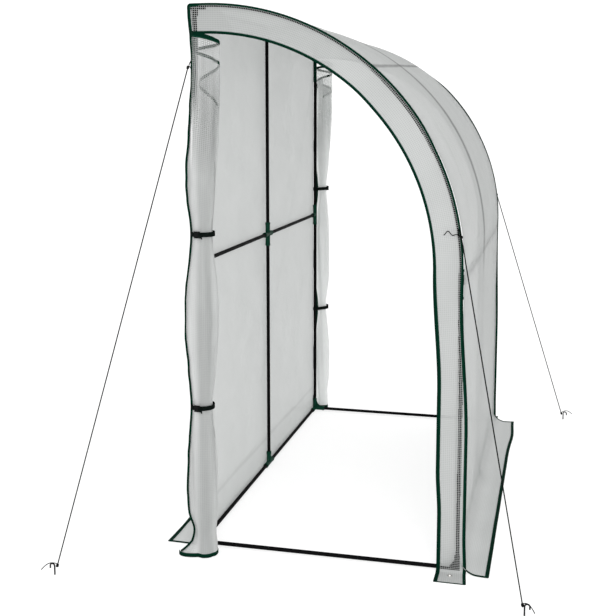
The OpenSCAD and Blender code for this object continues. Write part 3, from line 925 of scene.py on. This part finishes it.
# %% [markdown]
# ## Door ties
# A webbing tie goes round the wall post and the roll, and is drawn up in a ladder buckle. The
# band follows the tightest line round both, which is found as the hull of two circles.

# %% Door ties
def hull_line(circles):
    points = sorted({(round(c[0] + c[2] * math.cos(k * math.pi / 48), 6),
                      round(c[1] + c[2] * math.sin(k * math.pi / 48), 6))
                     for c in circles for k in range(96)})

    def half(ordered):
        chain = []
        for p in ordered:
            while len(chain) > 1 and ((chain[-1][0] - chain[-2][0]) * (p[1] - chain[-2][1])
                                      - (chain[-1][1] - chain[-2][1]) * (p[0] - chain[-2][0])) <= 0:
                chain.pop()
            chain.append(p)
        return chain[:-1]
    return half(points) + half(points[::-1])


def tie_band(name, side, r, x, z, nodes):
    middle = roll_middle(side, r, x, z)
    line = hull_line([(REAR, side * END, 0.0092), (*middle.xy, roll_radius(side, r, z) + 0.0015)])
    stations = []
    for i, p in enumerate(line + line[:1]):
        before, after = line[(i - 1) % len(line)], line[(i + 1) % len(line)]
        way = Vector((after[0] - before[0], after[1] - before[1], 0.0)).normalized()
        face = Vector((way.y, -way.x, 0.0))
        stations.append((Vector((p[0], p[1], z + 0.009)), Vector((0.0, 0.0, 1.0)), face))
    rings, across = tape_rings(stations, 0.018, 0.0017)
    return sweep(name, rings, across, [webbing], nodes)


def buckle(name, side, r, x, z, angle):
    """A ladder buckle: a cube made flat, its face inset twice into bars, its edges rounded."""
    bpy.ops.object.select_all(action="DESELECT")
    bpy.ops.mesh.primitive_cube_add(size=1)
    piece = bpy.context.object
    piece.name = piece.data.name = name
    bpy.ops.object.mode_set(mode="EDIT")
    bpy.ops.mesh.select_all(action="SELECT")
    bpy.ops.transform.resize(value=(0.0045, 0.024, 0.026))
    bpy.ops.mesh.subdivide(number_cuts=2)
    bpy.ops.object.mode_set(mode="OBJECT")
    pick_faces(piece, lambda c: abs(c.x) > 0.002 and abs(c.z) < 0.005 and 0.003 < abs(c.y) < 0.010)
    bpy.ops.mesh.inset(thickness=0.0012, depth=-0.0012, use_individual=False)
    bpy.ops.object.mode_set(mode="OBJECT")
    rim = piece.modifiers.new("round", "BEVEL")
    rim.width, rim.segments, rim.angle_limit = 0.0007, 2, math.radians(40)
    bpy.ops.object.modifier_apply(modifier=rim.name)
    out = Vector((math.cos(angle), math.sin(angle), 0.0))
    reach = roll_radius(side, r, z) + 0.0048
    piece.rotation_euler = (0.0, 0.0, angle)
    piece.location = roll_middle(side, r, x, z) + out * reach
    bpy.ops.object.transform_apply(location=True, rotation=True, scale=True)
    settle(piece, [acetal], [])
    tail = []
    for i in range(9):
        drop = i / 8
        along = Vector((-out.y, out.x, 0.0)) * (0.006 + 0.018 * drop)
        along.z = 0.007 - 0.010 * drop * drop
        stand = out * (reach + 0.003 + 0.005 * math.sin(2.4 * drop))
        tail.append((roll_middle(side, r, x, z) + stand + along, Vector((0.0, 0.0, 1.0)), out))
    rings, across = tape_rings(tail, 0.014, 0.0015)
    sweep(name + "_tail", rings, across, [webbing])


for end, turn in (("near", 264), ("far", 40)):
    side, r, x = ROLLS[end]
    for level, z in (("low", LOW_TIE), ("high", HIGH_TIE[side])):
        tie_band(f"{end}_{level}_tie", side, r, x, z, [f"{end}_door_ties"])
        buckle(f"{end}_{level}_buckle", side, r, x, z, math.radians(turn))

# %% [markdown]
# ## Eyelets
# The flap's eyelet is a plated barrel pressed through the film. A circle is extruded up
# through the hole, spread as a rim, rolled down at its edge and given thickness.

# %% Eyelets
for side, end in ENDS:
    bpy.ops.object.select_all(action="DESELECT")
    bpy.ops.mesh.primitive_circle_add(vertices=40, radius=EYELET_D / 2, fill_type="NOTHING")
    ring = bpy.context.object
    ring.name = ring.data.name = end + "_eyelet"
    bpy.ops.object.mode_set(mode="EDIT")
    bpy.ops.mesh.select_mode(type="EDGE")
    bpy.ops.mesh.select_all(action="SELECT")
    for rise, spread in ((0.0011, 1.04), (0.0005, 1.16), (0.0, 1.34), (-0.0005, 1.12),
                         (-0.0006, 1.02)):
        bpy.ops.mesh.extrude_region_move(TRANSFORM_OT_translate={"value": (0.0, 0.0, rise)})
        bpy.ops.transform.resize(value=(spread, spread, 1.0))
    bpy.ops.mesh.select_all(action="SELECT")
    bpy.ops.mesh.normals_make_consistent(inside=False)
    bpy.ops.object.mode_set(mode="OBJECT")
    shell = ring.modifiers.new("plate", "SOLIDIFY")
    shell.thickness, shell.offset = 0.0006, -1.0
    bpy.ops.object.modifier_apply(modifier=shell.name)
    ring.location = (*eyelet_place(side), 0.0006)
    bpy.ops.object.transform_apply(location=True, rotation=True, scale=True)
    settle(ring, [plated], [])

# %% [markdown]
# ## Guy ropes
# Four taut braided cords run from loops at the cover's corners to the pegs. A taut rope is
# straight, so its path is a line; a knot is the same cord wound round it, and a short tail
# is left over. The loops are sewn on two or three centimetres higher than the solid ones.

# %% Guy ropes
LOOP_REACH, KNOT_R, PEG_R, PEG_Z = 0.0113, 0.0055, 0.003, 0.034


def guy_facts(corner, side):
    if corner == "rear":
        tie = Vector((REAR - FILM_OUT + 0.006, side * (COVER_END + 0.001), 1.928))
        peg = Vector((REAR - 0.450, side * (END + 0.395), 0.0))
    else:
        z = 1.310
        tie = Vector((BEND_X + math.sqrt((BEND_R + FILM_OUT) ** 2 - (z - BEND_Z) ** 2)
                      - (0.013 if side < 0 else 0.014), side * (COVER_END + 0.001), z))
        out, end = (0.270, 0.295) if side < 0 else (0.400, 0.155)
        peg = Vector((FRONT + out, side * (END + end), 0.0))
    away = Vector((peg.x - tie.x, peg.y - tie.y, 0.0)).normalized()
    foot = peg - away * (PEG_R + 0.0003 + KNOT_R) + Vector((0.0, 0.0, PEG_Z - KNOT_R))
    ring = tie + away * LOOP_REACH
    way = (foot - ring).normalized()
    return ring, away, way, ring + way * (LOOP_REACH + KNOT_R), foot


def wound_knot(name, at, way, turns=3):
    """Cord wound round the rope in a tight coil."""
    side = way.orthogonal().normalized()
    up = way.cross(side)
    path = []
    for i in range(turns * 14 + 1):
        a = 2 * math.pi * i / 14
        r = 0.0040 + 0.0003 * math.sin(a * 0.5)
        path.append(at + way * (0.0032 * (i / 14 - turns / 2))
                    + (side * math.cos(a) + up * math.sin(a)) * r)
    rings, across = round_rings(path, 0.0017, 8)
    return sweep(name, rings, across, [rope_finish])


for side, end in ENDS:
    for corner in ("rear", "front"):
        ring, away, way, top, foot = guy_facts(corner, side)
        label = f"{end}_{corner}_guy"
        path = [top + (foot - top) * i / 60 for i in range(61)]
        rings, across = round_rings(path, 0.0023, 10)
        sweep(label + "_rope", rings, across, [rope_finish], [label])
        wound_knot(label + "_top_knot", top + way * 0.006, way)
        wound_knot(label + "_foot_knot", foot - way * 0.006, way)
        sewn = ring - away * LOOP_REACH
        loop = [sewn + Vector((0.0, 0.0, 0.013)), top + way * 0.002,
                sewn - Vector((0.0, 0.0, 0.022))]
        for _ in range(4):
            loop = [a.lerp(b, t) for a, b in zip(loop, loop[1:] + loop[:1]) for t in (0.2, 0.8)]
        loop.append(loop[0])
        rings, across = round_rings(loop, 0.0019, 8)
        sweep(label + "_loop", rings, across, [webbing],
              ["guy_loops"] if label == "near_rear_guy" else [], capped=False)
        tail = [foot - way * 0.012 + away * (0.001 + 0.062 * t)
                + Vector((0.0, 0.0, 0.012 * math.sin(3 * t) - 0.012 * t * t))
                for t in [k / 16 for k in range(17)]]
        rings, across = round_rings(tail, 0.0017, 8)
        sweep(label + "_tail", rings, across, [rope_finish])
        inward = Vector((-1.0 if corner == "front" else 0.5, 0.0, 0.0))
        drop = -0.010 if corner == "front" else 0.030
        tail = [top + inward * (0.004 + 0.060 * t)
                + Vector((0.0, side * (0.004 - 0.010 * t), (0.010 * math.sin(11 * t) - drop) * t))
                for t in [k / 40 for k in range(41)]]
        rings, across = round_rings(tail, 0.0017, 8)
        sweep(label + "_top_tail", rings, across, [rope_finish])

# %% [markdown]
# ## Stage and light
# A pale paper floor and a white surround, as in a product studio. The light is broad and
# soft from all sides, with one large lamp beside the camera that reaches through the doorway.

# %% Stage and light
bpy.ops.object.select_all(action="DESELECT")
bpy.ops.mesh.primitive_grid_add(x_subdivisions=8, y_subdivisions=8, size=120)
floor = bpy.context.object
floor.name = "studio_floor"
paper, paper_shader = new_finish("white studio paper")
paper_coords = add(paper, "ShaderNodeTexCoord")
paper_fibre = add(paper, "ShaderNodeTexNoise", values={"Scale": 1 / 0.02, "Detail": 3.0},
                  links={"Vector": paper_coords.outputs["Object"]})
paper_tint = add(paper, "ShaderNodeMix", data_type="RGBA",
                 values={6: from_hex("#A2A2A2"), 7: from_hex("#A8A8A8")},
                 links={0: paper_fibre.outputs["Fac"]})
feed(paper, paper_shader, Base_Color=paper_tint.outputs[2])
paper_shader.inputs["Roughness"].default_value = 0.9
paper_shader.inputs["Specular IOR Level"].default_value = 0.1
paper_shader.inputs["Emission Color"].default_value = (1.0, 1.0, 1.0, 1.0)
paper_shader.inputs["Emission Strength"].default_value = 0.70
floor.data.materials.append(paper)

world = bpy.data.worlds.new("studio surround")
bpy.context.scene.world = world
world.use_nodes = True
world.node_tree.nodes["Background"].inputs["Color"].default_value = (1.0, 1.0, 1.0, 1.0)
world.node_tree.nodes["Background"].inputs["Strength"].default_value = 1.15

bpy.ops.object.light_add(type="AREA", location=(1.9, -6.0, 2.8))
lamp = bpy.context.object
lamp.name = "soft_lamp"
lamp.data.shape, lamp.data.size, lamp.data.energy = "DISK", 3.0, 190.0
lamp.rotation_euler = (Vector((0.0, 0.0, 1.0)) - lamp.location).to_track_quat("-Z", "Y").to_euler()
view = bpy.context.scene.view_settings
view.view_transform, view.look, view.exposure, view.gamma = "Standard", "None", 0.0, 1.0
print("stage set")
